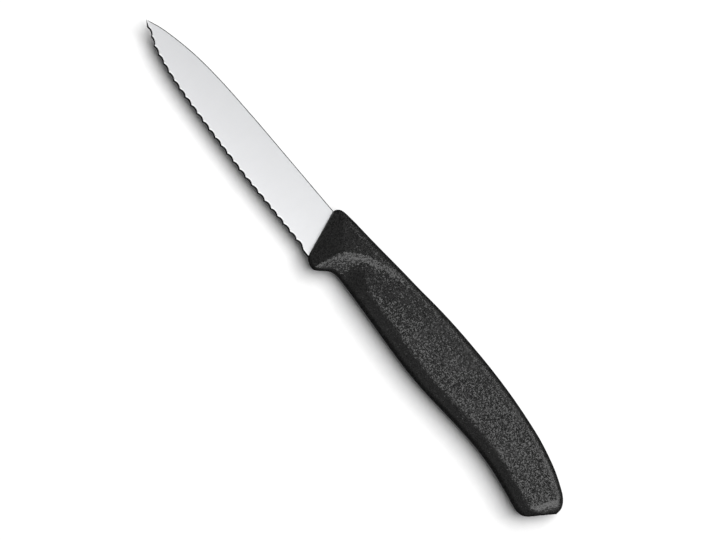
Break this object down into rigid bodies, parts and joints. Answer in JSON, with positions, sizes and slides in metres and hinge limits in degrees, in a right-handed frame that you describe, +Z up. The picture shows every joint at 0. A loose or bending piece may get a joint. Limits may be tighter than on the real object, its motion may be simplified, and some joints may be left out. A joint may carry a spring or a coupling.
{
  "type": "serrated paring knife",
  "caption": "Small paring knife with a pointed, wavy-edged steel blade whose tang is moulded into a black grained plastic handle with a finger guard and a drooping butt.",
  "frame": {"origin": "under the middle of the knife's box, on the surface that it lies on", "axes": "+X from the tip to the butt, +Y from the edge to the back of the blade, +Z up, out of the left face of the blade"},
  "size_m": [0.1862, 0.0218, 0.0124],
  "materials": {
    "blade_steel": "finely ground, bright satin",
    "handle_plastic": "black moulded plastic with a fine spark-eroded grain"
  },
  "bodies": {
    "root": {"blade": "blade_steel", "handle": "handle_plastic"}
  },
  "joints": []
}
